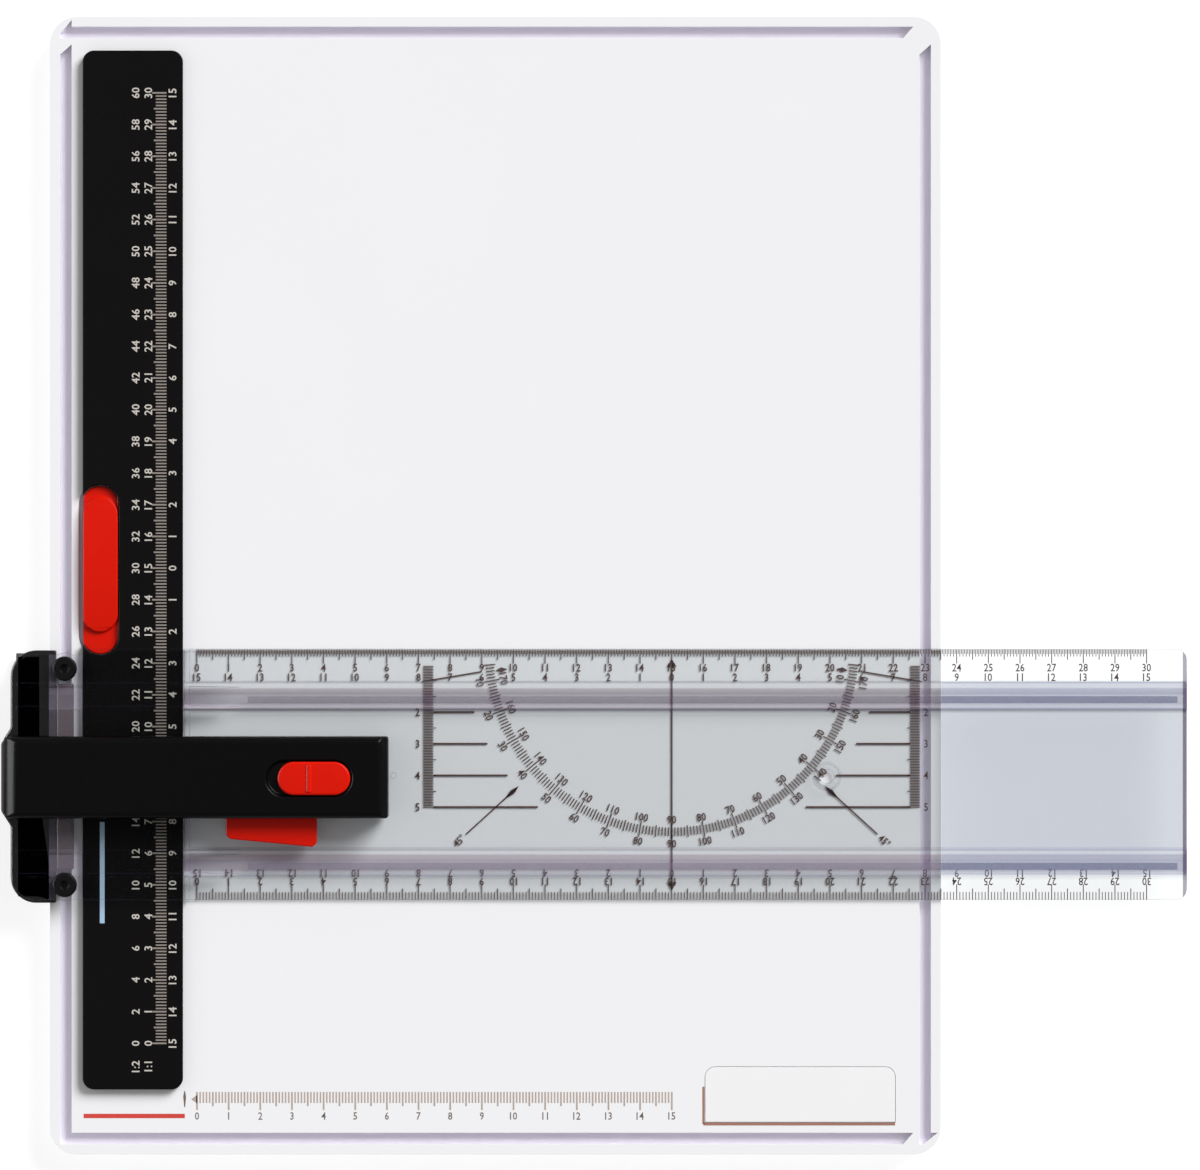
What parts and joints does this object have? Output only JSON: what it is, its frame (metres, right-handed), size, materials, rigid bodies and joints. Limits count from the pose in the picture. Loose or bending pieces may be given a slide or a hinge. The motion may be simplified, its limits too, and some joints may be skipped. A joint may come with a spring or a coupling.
{
  "type": "portable drawing board",
  "caption": "Flat drawing board with edge grooves, a tilting paper clamp rail and a clear parallel rule that slides in a groove and carries a handle with release lever and lock.",
  "frame": {"origin": "on the table, under the middle of the whole footprint: board, handle end and the rule's overhang", "axes": "+X along the rule towards its free end, +Y up the sheet, +Z away from the table"},
  "size_m": [0.3738, 0.3594, 0.0281],
  "materials": {
    "board_plastic": "fine matte moulding",
    "rubber": "matte",
    "plate_plastic": "smooth",
    "steel": "bright zinc",
    "grey_plastic": "moulded",
    "magnet": "matte",
    "rail_plastic": "fine texture, satin",
    "red_plastic": "glossy moulding",
    "clear_plastic": "clear, faintly blue",
    "gloss_black": "glossy",
    "brown_plastic": "satin",
    "stud_black": "satin",
    "handle_plastic": "satin, fine grain"
  },
  "bodies": {
    "board": {"board_panel": "board_plastic", "rubber_feet": "rubber", "name_plate": "plate_plastic", "steel_strip": "steel", "hinge_blocks": "grey_plastic", "hinge_pins": "steel", "hinge_screws": "steel", "key_pin": "steel"},
    "clamp_rail": {"clamp_rail": "rail_plastic", "magnet_strip": "magnet"},
    "clamp_key": {"clamp_key": "red_plastic"},
    "rule": {"blade": "clear_plastic", "guide_bar": "gloss_black", "hook_plate": "grey_plastic", "hook_screws": "steel", "guide_runner": "brown_plastic", "guide_studs": "stud_black", "handle_shell": "handle_plastic", "handle_base": "grey_plastic", "handle_screws": "steel", "lever_pin": "steel", "brake_spring": "steel"},
    "release_lever": {"release_lever": "red_plastic"},
    "brake": {"push_rod": "steel", "brake_shoe": "grey_plastic", "brake_pads": "rubber"},
    "lock": {"lock_button": "red_plastic", "lock_clip": "steel"}
  },
  "joints": [
    {"name": "rule_slide", "type": "slide", "parent": "board", "child": "rule", "axis": [0, 1, 0], "range_m": [-0.071, 0.19]},
    {"name": "clamp_rail_lift", "type": "hinge", "parent": "board", "child": "clamp_rail", "pos_m": [-0.15905, 0.0049, 0.01225], "axis": [0, -1, 0], "range_deg": [0, 2.3]},
    {"name": "clamp_key_press", "type": "hinge", "parent": "board", "child": "clamp_key", "pos_m": [-0.14915, 0.0049, 0.0097], "axis": [0, -1, 0], "range_deg": [0, 5.5]},
    {"name": "lever_press", "type": "hinge", "parent": "rule", "child": "release_lever", "pos_m": [-0.11735, -0.0671, 0.01925], "axis": [0, 0, 1], "range_deg": [0, 8]},
    {"name": "brake_slide", "type": "slide", "parent": "rule", "child": "brake", "axis": [-1, 0, 0], "range_m": [0, 0.00097], "stiffness_N_per_m": 400, "springref_m": -0.004, "deforming": ["brake_spring"]},
    {"name": "lock_slide", "type": "slide", "parent": "rule", "child": "lock", "axis": [-1, 0, 0], "range_m": [0, 0.003]}
  ],
  "couplings": [
    {"joint": "clamp_key_press", "follows": "clamp_rail_lift", "ratio": 2.39},
    {"joint": "lever_press", "follows": "brake_slide", "rad_per_m": 142.86}
  ]
}
